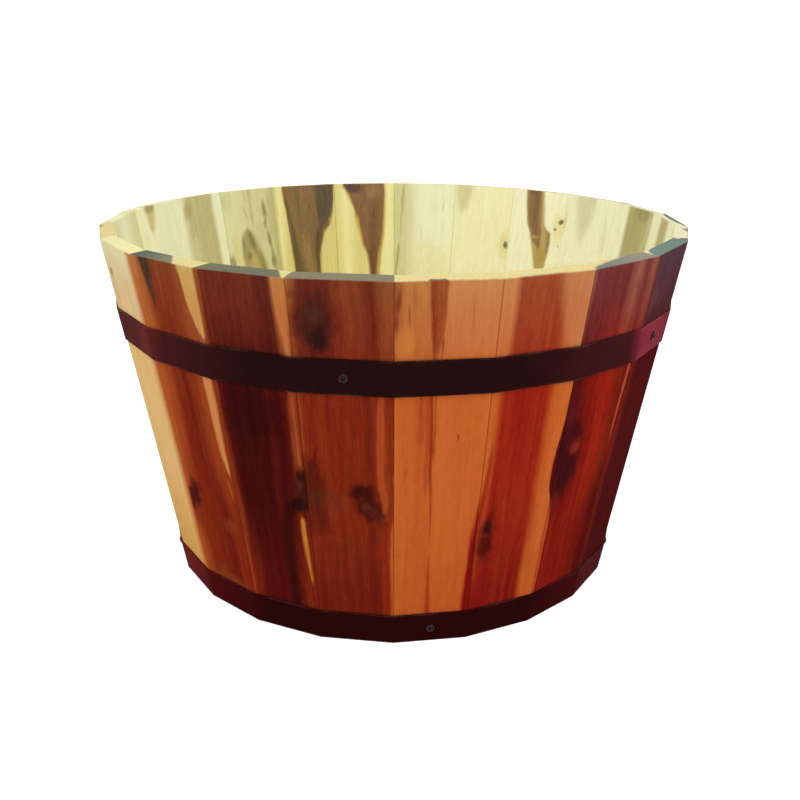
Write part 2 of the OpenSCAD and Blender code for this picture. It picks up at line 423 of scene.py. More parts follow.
def dress_stave(
    name, body, rim=None, foot=None, foot_shade_reach=(40, 150), streaks=(), patches=(), bends=(), end=(),
    end_tones=((0, END_GREEN),), pale=PALE_END,
    inside=((0, BARE_SAPWOOD),), inside_streaks=(), inside_patches=(),
):
    """Gives a stave its wood. body, rim and foot are the woods of its stripes from left to right; the rim
    woods hold a painted sheen, and the foot woods a painted shade.
    """
    index = int(name[-2:]) - 1
    turn = math.radians((index + 0.5) * STAVE_TURN)
    foot_middle = (FOOT_APOTHEM * math.sin(turn), -FOOT_APOTHEM * math.cos(turn), 0)
    seed = BOARD_SEED_STEP * index
    board = Board(name + "_wood", seed, foot_middle, (STAVE_LEAN, 0, turn), STAVE_LENGTH)
    board.lay_grain(bends)
    fine = board.fibre * 0.6 + board.mottle * 0.5 + board.fleck * 0.4 - board.pores * 0.16

    # Outside: stained wood, darker towards the foot by painted shade, and paler and greyer above the band
    # under a painted sheen that grows towards the rim.
    stained = board.blend(ease(board.z, *foot_shade_reach), board.tones(foot or body), board.tones(body))
    rim_sheened = board.tones(rim) if rim else board.blend(1.0, board.tones(body), RIM_SHEEN, "MULTIPLY")
    stained = board.blend(ease(board.z, *RIM_SHEEN_HEIGHTS), stained, rim_sheened)
    stained = board.mark(stained, streaks, patches)
    stained = board.blend(ease(board.z, *TOP_SHEEN_HEIGHTS), stained, TOP_SHEEN, "MULTIPLY")
    stained = board.shade(stained, board.broad * 0.42 + fine, board.broad * 0.02)
    joint = ease(FACE_HALF_FOOT + board.z * FACE_SPREAD - abs(board.x), 0.8, 0.2)
    stained = board.blend(joint * 0.15, stained, tint(JOINT_DIRT))

    # Inside: bare wood with fainter fibres.
    bare = board.mark(board.tones(inside), inside_streaks, inside_patches)
    bare = board.shade(bare, board.broad * 0.4 + fine * 0.85, board.mottle * 0.03)

    # End: the heartwood shows as a lens under the outer face.
    if end:
        depth = board.add(
            "ShaderNodeValToRGB",
            {"stops": [((x + HALF_FACE) / WHOLE_FACE, (reach / LENS_DEPTH, 0, 0, 1)) for x, reach in end]},
            {"Fac": (board.x + HALF_FACE) / WHOLE_FACE},
        )
        reach = board.add("ShaderNodeSeparateColor", inputs={0: depth}) * LENS_DEPTH
        heart = ease(board.y - reach + (board.ragged - 0.5) * 3, 1.8, -1.8)
        sawn = board.blend(heart, tint(pale), board.tones(end_tones))
    else:
        sawn = board.blend(0.35, bare, tint(pale))
    speckle = 1 + (board.figure(FIBRE_SIZE, 2.0) - 0.5) * 0.28 + board.mottle * 0.3
    sawn = board.add("ShaderNodeHueSaturation", inputs={"Value": speckle, "Color": sawn})

    outer = ease(board.y, STAIN_DEPTH, 0.5 * STAIN_DEPTH)
    top = ease(board.z, STAVE_LENGTH - 1.2, STAVE_LENGTH - 0.5) * ease(board.y, 0.0, 0.8)
    colour = board.blend(top, board.blend(outer, bare, stained), sawn)
    board.cover(name, colour, BARE_ROUGHNESS - outer * STAIN_GLOSS)


# ---- Staves in front ----------------------------------------------------------------
# Eight of the staves. Left to right they are cream sapwood, striped, dark with a pale edge,
# red-brown with three knots, orange sapwood, a red heart between orange edges, and two of
# dark heartwood.
dress_stave(
    "stave_19",
    rim=[(-40, DULL_CREAM), (24, DULL_CREAM), (36, DULL_COPPER)],
    body=[(-30, CREAM), (22, CREAM), (38, AMBER)],
    foot=[(-34, HONEY), (20, HONEY), (33, COPPER)],
    patches=[
        ((150, 126, 84), -29, 311, 3.5, 4, 0.8), ((188, 170, 120), -28, 294, 7, 12, 0.5),
        ((196, 178, 126), 12, 302, 7, 16, 0.4),
    ],
    pale=(210, 203, 150),
    inside=[(-40, BARE_ASH), (40, BARE_BUTTER)],
)
dress_stave(
    "stave_20",
    rim=[(-40, DULL_COPPER), (-18, DULL_RUST), (8, DULL_RUST), (26, DULL_BROWN), (40, DULL_ORANGE)],
    body=[(-38, COPPER), (-34, AMBER), (-20, RUST), (-14, BRICK), (0, OXBLOOD), (20, RUST)],
    foot=[(-34, AMBER), (-18, BRICK), (14, OXBLOOD), (22, BRICK)],
    streaks=[
        ((74, 48, 34), 9, [(285, -19, -6), (300, -19, 1), (318, -20.5, 4.5), (338, -22, 8.5)]),
        ((200, 148, 84), 4, [
            (274, 37, -4), (283, 36.5, 2.5), (290, 34.5, 5), (296, 34.2, 6.2), (310, 33, 8.8),
            (325, 33, 10.2), (338, 31.5, 11.4),
        ]),
        ((200, 132, 74), 4, [
            (144, 33, -4), (158, 32, 1.5), (175, 30.5, 3.2), (200, 29.5, 4), (240, 29, 5), (262, 30, 4),
            (276, 34, -4),
        ]),
        ((160, 82, 40), 2, [(118, 31, -2), (135, 29.5, 0.8), (150, 29, 1), (160, 30, -2)]),
    ],
    patches=[
        ((128, 60, 34), -9, 234, 5, 16, 0.4), ((100, 34, 22), -26, 112, 9, 22, 0.6, 18),
        ((72, 22, 21), -25.5, 117, 7.5, 15, 0.9, 20), ((92, 30, 22), -31, 104, 3, 6, 0.8, 14),
        ((122, 46, 28), -27, 92, 6, 14, 0.5), ((134, 66, 32), 18, 97, 9, 8, 0.4),
        ((124, 60, 32), -7, 40, 8, 9, 0.35), ((134, 64, 32), 4, 33, 24, 6, 0.5),
        ((126, 54, 26), 25, 165, 2, 8, 0.5),
    ],
    bends=[(-25, 114, 3, 12, 20)],
    foot_shade_reach=(105, 190),
    end=[(-40, 0), (-38, 3), (-33, 14), (0, 14), (5, 9), (12, 3), (16, 0)],
    end_tones=[(-30, END_STEEL), (5, END_OLIVE)],
    inside=[(-40, BARE_SAPWOOD), (40, BARE_BUTTER)],
    inside_streaks=[
        ((182, 152, 102), 6, [(0, -6, 3), (150, -12, 5), (260, -14, 8), (338, -16, 11)]),
        ((146, 114, 76), 7, [(110, -12, -4), (200, -13, 1), (338, -17, 4)], 0.8),
    ],
    inside_patches=[((96, 68, 50), -24, 116, 6, 10, 0.9)],
)
dress_stave(
    "stave_21",
    rim=[
        (-40, DULL_TAN), (-35, DULL_RED), (10, DULL_RED), (18, DULL_MAROON), (26, DULL_MAROON),
        (31, DULL_COPPER),
    ],
    body=[(-38, RUST), (-34, MAROON), (-24, NIGHT), (6, NIGHT), (12, MAROON), (18, NIGHT), (38, OXBLOOD)],
    foot=[(-34, COPPER), (-31, BRICK), (-18, MAROON), (2, MAROON), (12, NIGHT), (28, BRICK)],
    streaks=[
        ((64, 18, 18), 7, [
            (110, -17, -4), (140, -18, -0.5), (170, -20, 2), (220, -22, 3), (242, -24, 2), (262, -26, -4),
        ], 0.8),
        ((58, 16, 13), 6, [
            (28, 12.5, 3), (60, 12, 4.5), (100, 12, 4.5), (118, 14, 4), (130, 18, 5), (140, 25, 6),
            (147, 29, -4),
        ]),
        ((142, 60, 30), 5, [
            (150, 30, -4), (166, 31, 2), (195, 32, 4), (220, 33.5, 4), (243, 35, 4), (262, 35, 3.4),
            (274, 35, -3),
        ]),
        ((160, 76, 38), 2.5, [
            (170, 32, -2), (180, 32, 0.6), (210, 33.5, 0.8), (243, 34.5, 0.8), (262, 35, -2),
        ]),
        ((138, 53, 26), 7, [
            (28, -33, 0.6), (70, -33, 1.6), (110, -33, 2.6), (160, -34, 3.2), (190, -36, 3), (215, -37, 2),
            (243, -38, 1.6), (262, -39, 1),
        ], 0.9),
        ((190, 114, 62), 3, [
            (258, 35, -3), (268, 34.5, 2), (276, 34.5, 2.4), (300, 34, 2.9), (320, 34, 3.6),
            (338, 33.5, 4.6),
        ], 0.8),
        ((116, 36, 19), 4, [(30, 30, 1), (60, 30, 2), (100, 29, 3.4), (128, 28, 2.4), (138, 28, -4)]),
        ((196, 122, 48), 3, [
            (54, 30.5, -2), (64, 29.8, 0.8), (90, 28.4, 1.5), (110, 28.6, 1.6), (124, 29.4, 1.5),
            (131, 29.4, -1.5),
        ]),
    ],
    patches=[
        ((50, 11, 12), -4, 219, 26, 26, 0.65), ((52, 14, 14), 2, 222, 9, 20, 0.6),
        ((56, 21, 17), 32, 153, 8, 21, 0.88, 4), ((74, 28, 23), 28.5, 158, 4, 10, 0.7, 6),
        ((84, 36, 28), 30, 159, 2.2, 5, 0.5, 6), ((42, 17, 14), 33, 169, 5, 5, 0.7),
        ((42, 16, 14), 27, 140, 8, 6.5, 0.92, -25),
    ],
    bends=[(30, 150, 3, 12, 26)],
    end=[(-40, 0), (-37, 5), (-31, 14), (27, 14), (33, 6), (37, 0)],
    end_tones=[(0, END_MOSS)],
    inside_streaks=[
        ((202, 176, 118), 4, [(0, 5, 6), (120, 1, 8), (240, -4, 12), (338, -4, 16)]),
        ((172, 140, 92), 4, [(0, 5, 4), (120, 1, 6), (240, -4, 9.5), (338, -4, 13.5)]),
        ((136, 104, 70), 6, [(60, 7, -4), (160, -2, 1), (338, -7, 4)], 0.8),
    ],
    inside_patches=[((84, 58, 44), 28, 152, 6, 15, 0.9)],
)
dress_stave(
    "stave_22",
    rim=[
        (-40, DULL_TAN), (-29, DULL_RED), (-10, DULL_RED), (-5, DULL_RUST), (12, DULL_RUST),
        (23, DULL_RED), (34, DULL_BROWN),
    ],
    body=[(-38, RUST), (-34, BRICK), (9, BRICK), (18, OXBLOOD), (26, RUST), (33, BRICK)],
    foot=[(-34, BRICK), (-28, OXBLOOD), (20, OXBLOOD), (30, BRICK), (33, AMBER)],
    streaks=[
        ((112, 36, 20), 4, [(262, 25, 3), (275, 25, 3), (300, 23.5, 2), (338, 22, 0.5)], 0.7),
        ((136, 42, 19), 6, [(40, 27, 3), (90, 27, 4), (125, 28, 3.5), (142, 27, -5)]),
        ((168, 72, 31), 3, [
            (126, 26, -3), (140, 25, 2), (160, 24.4, 3), (180, 25, 3.2), (200, 26, 3.4), (220, 27, 3),
            (243, 28, 2.6), (258, 29, -3),
        ], 0.9),
        ((188, 92, 40), 2, [(28, 33, 1.2), (100, 34, 1.2), (170, 36, 1), (190, 37, -1.5)]),
        ((112, 34, 18), 4, [(160, 1, -3), (172, 1.5, 1.5), (192, 2, 1), (206, 3, -3)], 0.7),
        ((108, 32, 18), 3.5, [
            (204, -14.5, -2), (214, -14.5, 1), (232, -15, 1), (243, -15, 0.6), (256, -15, -2),
        ], 0.6),
        ((92, 26, 15), 3, [
            (160, -35, -2), (168, -33.5, 1.5), (185, -29, 1.8), (196, -25, 1), (202, -24, -2),
        ], 0.8),
    ],
    patches=[
        ((84, 26, 16), -31, 158, 11, 28, 0.9, -4), ((86, 42, 20), -28, 150, 7, 9, 0.6),
        ((92, 32, 20), -28, 128, 10, 17, 0.7), ((112, 54, 32), -14, 145, 10, 14, 0.35),
        ((106, 36, 25), -20, 304, 18, 40, 0.75), ((66, 34, 25), -20.5, 304, 13.5, 21, 0.9),
        ((86, 51, 37), -20, 311, 6.5, 7, 0.5), ((46, 24, 19), -18, 291, 6.5, 10, 0.95),
        ((108, 30, 17), 6, 158, 10, 12, 0.6), ((54, 19, 13), 11, 157, 9.5, 7.5, 0.95),
        ((60, 20, 14), 16, 141, 13, 9.5, 0.95, 42), ((88, 36, 25), 17, 140, 8.5, 5, 0.9, 42, 0.4),
        ((96, 30, 18), 25, 127, 5, 4, 0.6), ((108, 34, 18), -10, 104, 13, 9, 0.4),
        ((136, 46, 22), -12, 108, 7, 5, 0.5),
    ],
    bends=[(-19, 304, 4, 15, 26), (14, 148, 4, 15, 24)],
    end=[(-40, 3), (-36, 14), (40, 14)],
    end_tones=[(0, END_OLIVE)],
    inside_streaks=[
        ((180, 148, 98), 5, [(0, 8, 5), (140, 14, 9), (250, -2, 12), (338, -8, 18)]),
        ((146, 112, 74), 7, [(0, 8, -2), (140, 16, 3), (240, 0, 3), (338, -10, 7)], 0.8),
    ],
    inside_patches=[
        ((80, 54, 40), -19, 302, 10, 15, 0.95), ((118, 86, 60), -19, 304, 5, 7, 0.8),
        ((86, 58, 42), 15, 148, 10, 11, 0.9, 30),
    ],
)
dress_stave(
    "stave_01",
    rim=[(-40, DULL_BROWN), (-30, DULL_COPPER), (-16, DULL_COPPER), (4, DULL_ORANGE)],
    body=[(-36, ORANGE), (-17, COPPER), (0, ORANGE)],
    foot=[(0, COPPER)],
    streaks=[
        ((154, 72, 38), 3, [
            (262, -7, -3), (276, -7, 1.2), (288, -7, 3), (298, -6.5, 4.4), (315, -6.5, 5.4),
            (338, -6.5, 6.2),
        ]),
        ((134, 54, 30), 3, [
            (256, -8.5, -2), (272, -8.5, 1.4), (295, -9, 1.8), (315, -9.5, 2), (338, -9.5, 1.6),
        ], 0.8),
        ((156, 64, 28), 2, [
            (170, -5, -1.5), (190, -5.5, 0.5), (243, -6, 0.7), (262, -3.5, 0.7), (290, -2.5, 1),
            (302, -2.5, -2),
        ]),
        ((144, 48, 24), 2.5, [
            (94, -3.5, -1.5), (120, -4, 0.4), (150, -5.4, 1), (175, -7.2, 1.4), (200, -8.3, 1.7),
            (243, -9.2, 1.8), (272, -8.7, 1.5), (284, -8.5, -2),
        ]),
        ((164, 56, 24), 3, [(28, -2.5, 2.6), (50, -2.5, 2.2), (80, -3, 1), (108, -3, -2)], 0.9),
        ((168, 68, 30), 3, [
            (130, -9, -2), (160, -10, 1), (200, -11, 2), (243, -11.5, 2), (262, -11, -3),
        ], 0.8),
        ((174, 76, 32), 6, [(190, -17, -5), (205, -17, 2.5), (243, -17, 3), (262, -17, -5)]),
        ((204, 108, 54), 2, [(190, 35.5, -1.5), (205, 36, 0.8), (243, 36.5, 0.8), (258, 36.5, -1.5)]),
        ((158, 44, 22), 3, [
            (20, 34, 9.2), (30, 33.5, 8), (60, 33.5, 7), (110, 34.5, 5.8), (135, 36, 4), (152, 37, 2),
            (172, 38, -3),
        ], 0.7),
        ((128, 28, 17), 2.4, [
            (20, 34, 7.6), (30, 33.5, 6.6), (60, 33.5, 5.6), (110, 34.5, 4.2), (135, 36, 2.2),
            (152, 37, 0), (165, 38, -3),
        ]),
    ],
    patches=[
        ((120, 52, 30), -36.2, 322, 1.6, 12, 0.75, 5, 0.8),
        ((122, 54, 32), -37.2, 304, 1.2, 7, 0.7, 0, 0.8), ((128, 60, 34), -28, 312, 0.6, 7, 0.7, -3, 0.8),
        ((150, 78, 42), -25, 326, 1, 9, 0.45, 0, 0.9), ((116, 50, 26), 14, 207, 0.6, 3.4, 0.85, -6, 0.6),
        ((168, 90, 48), 19, 314, 0.8, 10, 0.45, 0, 0.9), ((170, 80, 38), -27, 176, 1.2, 5, 0.5, 6),
        ((206, 132, 62), -32, 290, 8, 12, 0.4),
    ],
    end=[(-16, 0), (-13, 3.2), (-3, 3.0), (0, 0)],
    end_tones=[(0, END_BROWN)],
)
dress_stave(
    "stave_02",
    rim=[(-30, DULL_ORANGE), (-24, DULL_BRICK), (15, DULL_BRICK), (28, DULL_ORANGE)],
    body=[(-38, ORANGE), (-32, COPPER), (-25, SCARLET), (14, SCARLET), (23, COPPER), (28, ORANGE)],
    foot=[(13, CRIMSON), (20, COPPER)],
    streaks=[
        ((192, 116, 72), 13, [
            (266, 42, -8), (276, 40, 11), (286, 38, 14), (296, 36, 16), (310, 34, 18.4), (325, 31, 18.4),
            (338, 28, 18),
        ], 0.8),
        ((152, 46, 24), 5, [
            (45, -30, -4), (70, -30, 1), (110, -31, 3), (150, -31.5, 2.5), (185, -31, 1.5), (215, -30, -4),
        ]),
        ((182, 86, 38), 2, [
            (80, -35, -1.5), (95, -35, 0.6), (150, -36, 1), (180, -37, 1.4), (200, -38, -2),
        ]),
        ((80, 16, 17), 2, [
            (124, 36, -2), (132, 35.7, 0.6), (142, 35.5, 3), (150, 35.8, 4), (165, 36.2, 4.2),
            (180, 36.8, 3.6), (195, 37.4, 2.6), (220, 38.4, 2.2), (243, 39.4, 1.6), (262, 40, 1.2),
            (290, 41, 0.6), (305, 42, -2),
        ]),
    ],
    patches=[
        ((96, 25, 16), -24.5, 106, 7, 25, 0.85, 3), ((70, 19, 14), -23.5, 118, 3.4, 14, 0.75, 5),
        ((56, 18, 13), -24.5, 116, 3.4, 8, 0.85, 8), ((104, 42, 28), -25, 109, 2, 2.2, 0.7),
        ((98, 32, 22), -27, 102, 3, 3, 0.5), ((72, 19, 14), -25, 96, 6, 9, 0.85),
        ((126, 32, 20), -22.5, 136, 1.4, 12, 0.7, 3), ((124, 32, 18), -11, 78, 11, 10, 0.4, 20),
        ((140, 42, 22), -13, 76, 5, 5, 0.4, 20), ((170, 78, 38), 22, 128, 1.6, 2.4, 0.7),
    ],
    bends=[(-24, 105, 3, 10, 26)],
    end=[(-28, 0), (-22, 1.2), (10, 1.4), (18, 0)],
    end_tones=[(0, END_PALE)],
)
# Its rim colours, rose and plum browns, are a painted sheen over the dark heartwood.
dress_stave(
    "stave_03",
    rim=[
        (-40, ROSE_BROWN), (-35, PLUM_BROWN), (6, PLUM_BROWN), (18, ROSE_BROWN), (28, PLUM_BROWN),
        (38, ROSE_BROWN),
    ],
    body=[(-32, MAROON), (-10, CRIMSON), (12, SCARLET), (26, OXBLOOD), (33, CRIMSON)],
    foot=[(-34, SCARLET), (-29, CRIMSON), (-4, CRIMSON), (19, OXBLOOD), (26, MAROON)],
    streaks=[
        ((168, 86, 70), 2, [
            (150, 30, -2), (175, 31, 0.3), (205, 32.5, 0.7), (243, 34.5, 1.2), (262, 35, 1.2),
            (280, 36, -2),
        ]),
        ((186, 80, 38), 2.5, [
            (28, -32, 1.6), (60, -32.5, 1.8), (100, -33.5, 1.6), (125, -35, 0.8), (140, -36, -2),
        ]),
        ((84, 19, 18), 9, [(28, 28, 3), (60, 28, 5), (110, 31, 5), (150, 34, 3), (175, 36, -6)], 0.7),
    ],
    patches=[
        ((88, 22, 22), -22, 172, 19, 44, 0.55), ((58, 18, 20), -24, 158, 14, 23, 0.92),
        ((60, 18, 18), -33, 182, 6, 18, 0.85), ((70, 18, 21), -24, 197, 14, 9, 0.92, 32),
        ((86, 24, 30), -30, 214, 8, 14, 0.6), ((128, 42, 32), -16, 178, 6, 5.5, 0.8, 15, 0.6),
        ((120, 24, 24), 20, 75, 6, 30, 0.4),
    ],
    bends=[(-22, 172, 3, 16, 36)],
    foot_shade_reach=(80, 165),
    end=[(-40, 1), (-37, 4), (-20, 8), (0, 11), (16, 14), (34, 14), (38, 6), (40, 2)],
    end_tones=[(-30, END_GREEN), (18, END_GREY)],
    inside_streaks=[
        ((176, 146, 102), 5, [(0, 8, 1), (160, 18, 4), (338, 25, 7)]),
        ((140, 108, 76), 5, [(140, 18, -3), (220, 20, 1), (338, 26, 3)], 0.8),
    ],
)
# Its rim colours and the two pale patches near the rim are a painted sheen over the dark heartwood.
dress_stave(
    "stave_04",
    rim=[(-40, ROSE_BROWN), (-34, PLUM_BROWN), (-26, SLATE_PLUM)],
    body=[(-38, OXBLOOD), (-20, PLUM)],
    streaks=[((110, 30, 32), 10, [(120, -30, -6), (150, -30, 4), (190, -31, 3), (215, -32, -6)])],
    patches=[((104, 70, 60), -20, 300, 10, 10, 0.35), ((72, 52, 56), 22, 276, 16, 6, 0.4)],
    end=[(-40, 4), (-36, 10), (-25, 14), (40, 14)],
    end_tones=[(0, END_TEAL)],
    pale=CREAM_END,
    inside_streaks=[
        ((182, 156, 112), 5, [(0, 18, 4), (200, 14, 9), (338, 12, 15)]),
        ((148, 120, 86), 7, [(60, 18, -4), (180, 12, 2), (338, 8, 5)], 0.8),
    ],
)

# ---- Staves at the right ------------------------------------------------------------
# Six staves of the same wood and stain. Inside they are mostly pale sapwood, one with a
# curved brown heart and one with an olive half.
dress_stave(
    "stave_05",
    body=[(-38, COPPER), (-10, ORANGE), (20, COPPER), (38, AMBER)],
    streaks=[
        ((146, 52, 24), 5, [(0, 6, 8), (90, 4, 5), (180, 10, 2), (262, 12, -4)]),
        ((124, 34, 18), 4, [(0, -28, 4), (120, -32, 2), (210, -36, -3)]),
    ],
    patches=[((96, 34, 18), 14, 96, 5, 9, 0.8, 10), ((60, 24, 16), 15, 98, 2, 4, 0.8, 10)],
    end=[(-40, 9), (-32, 7), (-24, 0), (8, 0), (16, 5), (24, 4), (30, 0)],
    end_tones=[(-35, END_GREEN), (0, END_PALE)],
    pale=CREAM_END,
)
dress_stave(
    "stave_06",
    body=[(-38, AMBER), (-30, BRICK), (24, OXBLOOD), (38, MAROON)],
    streaks=[
        ((84, 22, 15), 5, [(0, -8, 6), (140, -4, 4), (260, 2, 3), (338, 4, 1)]),
        ((178, 84, 38), 3, [(30, 26, -4), (110, 27, 3), (190, 28, 4), (338, 33, 4)]),
    ],
    patches=[((58, 20, 14), -16, 214, 8, 12, 0.9, 15), ((88, 34, 20), -16, 214, 4, 6, 0.7, 15)],
    bends=[(-16, 214, 4, 13, 22)],
    end=[(-40, 1), (-32, 5), (-20, 7.5), (0, 8), (22, 7), (34, 4), (40, 1)],
    pale=CREAM_END,
    inside=[
        (-26, BARE_WHITE), (-15, BARE_HEART), (-2, BARE_HEART), (8, BARE_WHITE), (28, BARE_WHITE),
        (36, BARE_ASH),
    ],
)
dress_stave(
    "stave_07",
    body=[(-38, COPPER), (8, ORANGE), (20, RUST), (38, BRICK)],
    streaks=[((150, 56, 26), 3, [(0, -14, 3), (150, -11, 1.5), (338, -15, 4)])],
    patches=[((104, 40, 22), -26, 66, 4, 7, 0.8)],
    end=[(16, 0), (26, 6), (40, 9)],
    pale=CREAM_END,
    inside=[(-38, BARE_GREY), (-26, BARE_OLIVE), (5, BARE_OLIVE), (12, BARE_WHITE)],
    inside_patches=[((160, 146, 110), -20, 334, 14, 8, 0.6), ((204, 192, 132), -30, 308, 7, 12, 0.5)],
)
dress_stave(
    "stave_08",
    body=[(-38, BRICK), (14, OXBLOOD), (24, AMBER), (38, COPPER)],
    streaks=[((82, 22, 14), 5, [(0, -18, 5), (120, -16, 3), (220, -20, 4), (338, -24, 2)])],
    patches=[((60, 20, 14), 4, 128, 7, 10, 0.9, -20), ((96, 40, 24), 4, 128, 3.5, 5, 0.7, -20)],
    bends=[(4, 128, 4, 13, 22)],
    end=[(-40, 6), (-20, 10), (14, 8), (24, 0)],
    pale=CREAM_END,
    inside=[(0, BARE_WHITE)],
    inside_streaks=[
        ((222, 218, 176), 16, [
            (270, 7, -9), (290, 7.5, 3), (305, 7, 9), (320, 6.5, 13), (338, 8, 16),
        ], 0.9),
    ],
    inside_patches=[((204, 196, 140), 37, 308, 2.6, 12, 0.7), ((226, 226, 180), -28, 300, 4, 26, 0.4)],
)
dress_stave(
    "stave_09",
    body=[(-38, OXBLOOD), (18, MAROON), (32, BRICK), (38, RUST)],
    streaks=[((62, 16, 14), 7, [(0, 4, 6), (120, 2, 5), (230, 8, 6), (338, 10, 3)])],
    patches=[
        ((50, 16, 14), 6, 62, 10, 14, 0.9, 8), ((112, 42, 26), 6, 60, 4, 6, 0.7, 8),
        ((200, 128, 54), -30, 214, 2.2, 24, 1.0, 1, 0.3),
    ],
    bends=[(6, 62, 4, 15, 26)],
    end=[(-40, 5), (-30, 12), (20, 13), (40, 3)],
    inside=[(0, BARE_WHITE)],
    inside_streaks=[
        ((190, 166, 108), 5, [
            (238, -12, -4), (244, -11.5, 4.5), (250, -11.2, 7), (260, -10.4, 9.2), (270, -9.6, 11.6),
            (280, -8.4, 13.6), (290, -6.4, 14), (294, -3.4, 13.2), (299, 0.6, 12.2), (310, 2.6, 12.6),
            (325, 5, 12.8), (338, 6.4, 12.4),
        ]),
        ((158, 122, 86), 5, [
            (266, -6, -3), (273, -6, 1.5), (277, -4.5, 4.5), (281, -2.2, 7), (290, -0.8, 8.6),
            (300, 2.6, 9.4), (310, 4.4, 10), (325, 6.6, 10.4), (338, 8, 10.6),
        ]),
        ((134, 100, 72), 6, [
            (278, -1, -4), (288, 0, 3), (300, 2.4, 4), (312, 3.6, 4.4), (325, 3.6, 4.2), (338, 4.4, 4.4),
        ], 0.85),
        ((150, 118, 68), 4, [(268, -7, -3), (275, -6, 0.8), (284, -5, 1.4), (290, -5, -3)], 0.8),
        ((160, 142, 86), 5, [
            (256, -18, -4), (268, -18.5, 1.6), (280, -19, 2.6), (290, -18, 2.4), (296, -15, -4),
        ], 0.9),
    ],
    inside_patches=[
        ((196, 164, 104), 0, 284.5, 6, 2, 0.7, 10, 0.8), ((196, 168, 112), -9.5, 283, 1.6, 7, 0.7, 6),
        ((178, 152, 70), -10.5, 263, 5.5, 9, 0.6), ((112, 88, 66), 10, 336, 5, 3.5, 0.6),
        ((238, 228, 150), -30, 298, 8, 18, 0.6), ((104, 92, 56), -33, 305, 3.4, 2.6, 0.9, 30),
        ((130, 114, 70), -26, 296, 1.5, 1.5, 0.8), ((190, 178, 130), -33, 277, 1.4, 1.2, 0.6),
    ],
)
dress_stave(
    "stave_10",
    body=[(-38, OXBLOOD), (38, MAROON)],
    streaks=[
        ((62, 17, 15), 10, [(0, -16, 8), (120, -12, 5), (220, -16, 2), (300, -18, -6)]),
        ((136, 46, 24), 4, [(0, 22, 3), (150, 24, 2), (338, 27, 3)]),
    ],
    end=[(-40, 8), (40, 11)],
    inside_streaks=[((220, 212, 160), 12, [(296, 26, -8), (312, 26, 6), (326, 26, 9.5), (338, 26, 11)])],
    inside_patches=[((226, 214, 138), -32, 270, 8, 14, 0.6), ((112, 98, 58), -33, 270, 2.6, 4, 0.95)],
)

# ---- Staves at the back -------------------------------------------------------------
# Eight staves of the same wood and stain. Two have broad brown hearts inside, side by side.
# The next one is streaked with grey, and the rest are paler and plainer.
dress_stave(
    "stave_11",
    body=[(-38, AMBER), (-12, ORANGE), (16, COPPER), (38, AMBER)],
    streaks=[
        ((146, 54, 26), 3, [(0, 14, 3), (150, 12, 1.5), (260, 15, 2), (338, 16, 4)]),
        ((120, 40, 20), 2, [(40, -20, -2), (80, -20, 1), (220, -22, 1), (260, -22, -2)]),
    ],
    patches=[((100, 40, 22), -8, 168, 3, 6, 0.8, 12)],
    end=[(8, 0), (12, 3), (20, 3), (24, 0)],
    end_tones=[(0, END_OLIVE)],
    inside=[(4, BARE_CREAM), (24, BARE_GREY)],
    inside_streaks=[
        ((184, 174, 116), 2.5, [
            (288, 27, -3), (300, 27, 1), (318, 27, 1.4), (332, 26, 1), (338, 26, 0.5),
        ]),
        ((172, 162, 102), 2, [(222, 32.5, 0.8), (240, 32, 1.2), (262, 31.5, 0.8), (274, 31, -2)]),
        ((190, 182, 124), 2, [(260, 29, -2), (275, 29, 0.8), (300, 29.5, 0.8), (312, 30, -2)]),
        ((212, 208, 156), 2, [(260, 3, -2), (272, 3, 0.7), (288, 4, 0.7), (298, 4, -2)]),
        ((218, 216, 168), 2, [(298, -23, -2), (308, -22.5, 0.6), (324, -22, 0.6), (332, -22, -2)]),
    ],
    inside_patches=[((228, 222, 152), -10, 236, 26, 30, 0.5)],
)
dress_stave(
    "stave_12",
    body=[(-38, RUST), (-26, BRICK), (38, OXBLOOD)],
    streaks=[
        ((80, 24, 15), 5, [(0, 16, 4), (150, 14, 3), (338, 12, 5)]),
        ((176, 78, 34), 3, [(0, 31, 3), (120, 34, 2), (240, 38, -2)]),
    ],
    patches=[((56, 20, 14), -10, 88, 9, 12, 0.9, -12), ((98, 42, 26), -10, 86, 4.5, 6, 0.75, -12)],
    bends=[(-10, 88, 4, 14, 24)],
    inside=[
        (-40, BARE_HONEY), (-34, BARE_BUTTER), (-26, BARE_BUTTER), (8, BARE_HONEY), (24, BARE_BUTTER),
        (36, BARE_HONEY),
    ],
    inside_streaks=[
        ((188, 156, 80), 4, [
            (150, -10, -4), (190, -10, 3), (228, -10.5, 7), (240, -10.8, 8.2), (250, -10.4, 9.6),
            (265, -8.8, 13.6), (280, -8.8, 15.8), (310, -5.6, 20), (338, 0.6, 26.6),
        ]),
        ((136, 101, 70), 2.5, [
            (150, -10, -4), (190, -10, 2), (228, -9, 3.2), (240, -9, 4.4), (250, -9.2, 6.2), (265, -8, 11),
            (280, -8.4, 13.4), (295, -8, 15), (310, -5.2, 18.2), (325, -3.3, 21.3), (338, 1, 25),
        ]),
        ((106, 76, 48), 8, [(190, -9, 2), (240, -9, 4), (256, -9, 6), (270, -8, -6)], 0.8),
        ((122, 84, 58), 8, [
            (190, -9, 1), (228, -9, 2), (250, -9, 4), (280, -10, 6), (300, -12, 5), (320, -14, 2),
            (332, -15, -6),
        ], 0.7),
    ],
    inside_patches=[((156, 124, 90), -12, 330, 10, 9, 0.6), ((92, 68, 68), 15, 334, 11, 6, 0.85, -18)],
)
